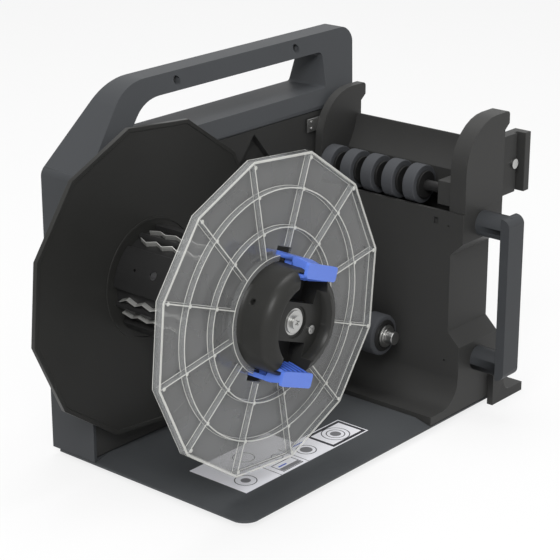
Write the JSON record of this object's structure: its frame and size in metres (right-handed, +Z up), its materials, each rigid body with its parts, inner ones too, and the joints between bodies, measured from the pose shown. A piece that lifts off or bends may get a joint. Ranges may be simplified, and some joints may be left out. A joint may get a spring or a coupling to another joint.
{
  "type": "label rewinder",
  "caption": "Motor-driven label rewinder: a spindle between a black and a clear flange, guide rollers on a tower, a flat base and a housing with a handle.",
  "frame": {"origin": "centre of the bounding box's bottom face, on the floor under the feet", "axes": "+X from the spindle towards the printer side, +Y from the front to the housing's back, +Z up"},
  "size_m": [0.3804, 0.2126, 0.261],
  "materials": {
    "housing_grey": "fine grained charcoal plastic",
    "dark_plastic": "fine grained near-black plastic",
    "black_plastic": "satin black plastic",
    "clear_plastic": "clear, polished",
    "blue_plastic": "satin blue plastic",
    "grey_rubber": "matt grey rubber",
    "black_rubber": "matt black rubber",
    "steel": "plain bright steel",
    "brass": "machined brass",
    "gear_plastic": "natural moulded plastic",
    "sheet": "printed film, plain panels",
    "board": "coated circuit board"
  },
  "bodies": {
    "frame": {"housing_shell": "housing_grey", "front_cover": "dark_plastic", "rear_cover": "housing_grey", "cover_screws": "steel", "bar_screws": "steel", "base_plate": "housing_grey", "base_sheet": "sheet", "feet": "black_rubber", "tower_shell": "dark_plastic", "tower_cover": "dark_plastic", "locating_bracket": "dark_plastic", "bracket_screw": "steel", "carry_handle": "housing_grey", "handle_screws": "steel", "front_fin": "dark_plastic", "rear_fin": "dark_plastic", "guide_plate": "dark_plastic", "printer_hook": "dark_plastic", "hook_screw": "steel", "latch_plate": "steel", "latch_pins": "steel", "roller_bracket": "dark_plastic", "roller_bushes": "black_plastic", "lower_roller_mount": "black_plastic", "lower_roller_shaft": "steel", "lower_roller_washer": "steel", "lower_roller_clip": "steel", "gear_frame": "steel", "spindle_bearings": "steel", "motor": "steel", "motor_screws": "steel", "control_board": "board", "board_screws": "steel", "power_inlet": "black_plastic", "switch_case": "black_plastic"},
    "spindle": {"spindle_shaft": "steel", "drive_gear": "gear_plastic", "end_washer": "steel", "end_screw": "steel", "inner_flange": "black_plastic", "drum": "black_plastic", "drum_shoes": "black_plastic", "shoe_springs": "steel", "shoe_screws": "steel"},
    "pinion": {"motor_shaft": "steel", "motor_pinion": "brass"},
    "outer_flange": {"outer_flange": "clear_plastic", "hub": "black_plastic", "hub_screw": "steel", "lever_pins": "steel", "lever_springs": "steel"},
    "upper_lever": {"upper_lever": "blue_plastic"},
    "lower_lever": {"lower_lever": "blue_plastic"},
    "upper_rollers": {"roller_shaft": "black_plastic", "roller_hubs": "black_plastic", "roller_tyres": "grey_rubber"},
    "lower_roller": {"lower_roller_core": "black_plastic", "lower_roller_tyre": "grey_rubber"},
    "switch_rocker": {"switch_rocker": "black_plastic"}
  },
  "joints": [
    {"name": "spindle_spin", "type": "hinge", "parent": "frame", "child": "spindle", "pos_m": [-0.07981, 0.00425, 0.1312], "axis": [0, 1, 0], "continuous": true},
    {"name": "pinion_spin", "type": "hinge", "parent": "frame", "child": "pinion", "pos_m": [-0.02695, 0.07925, 0.11196], "axis": [0, 1, 0], "continuous": true},
    {"name": "flange_slide", "type": "slide", "parent": "spindle", "child": "outer_flange", "axis": [0, -1, 0], "range_m": [-0.025, 0.06]},
    {"name": "upper_lever_press", "type": "hinge", "parent": "outer_flange", "child": "upper_lever", "pos_m": [-0.06838, -0.05975, 0.16216], "axis": [0.9381, 0, -0.3463], "range_deg": [0, 10], "stiffness_Nm_per_rad": 0.2, "springref_deg": -11.46},
    {"name": "lower_lever_press", "type": "hinge", "parent": "outer_flange", "child": "lower_lever", "pos_m": [-0.09123, -0.05975, 0.10024], "axis": [-0.9381, 0, 0.3463], "range_deg": [0, 10], "stiffness_Nm_per_rad": 0.2, "springref_deg": -11.46},
    {"name": "upper_rollers_spin", "type": "hinge", "parent": "frame", "child": "upper_rollers", "pos_m": [0.11519, 0.00425, 0.1708], "axis": [0, 1, 0], "continuous": true},
    {"name": "lower_roller_spin", "type": "hinge", "parent": "frame", "child": "lower_roller", "pos_m": [0.08519, -0.01475, 0.0585], "axis": [0, 1, 0], "continuous": true},
    {"name": "switch_rock", "type": "hinge", "parent": "frame", "child": "switch_rocker", "pos_m": [0.08719, 0.10075, 0.04], "axis": [1, 0, 0], "range_deg": [-16, 0]}
  ],
  "couplings": [
    {"joint": "pinion_spin", "follows": "spindle_spin", "ratio": -4}
  ]
}
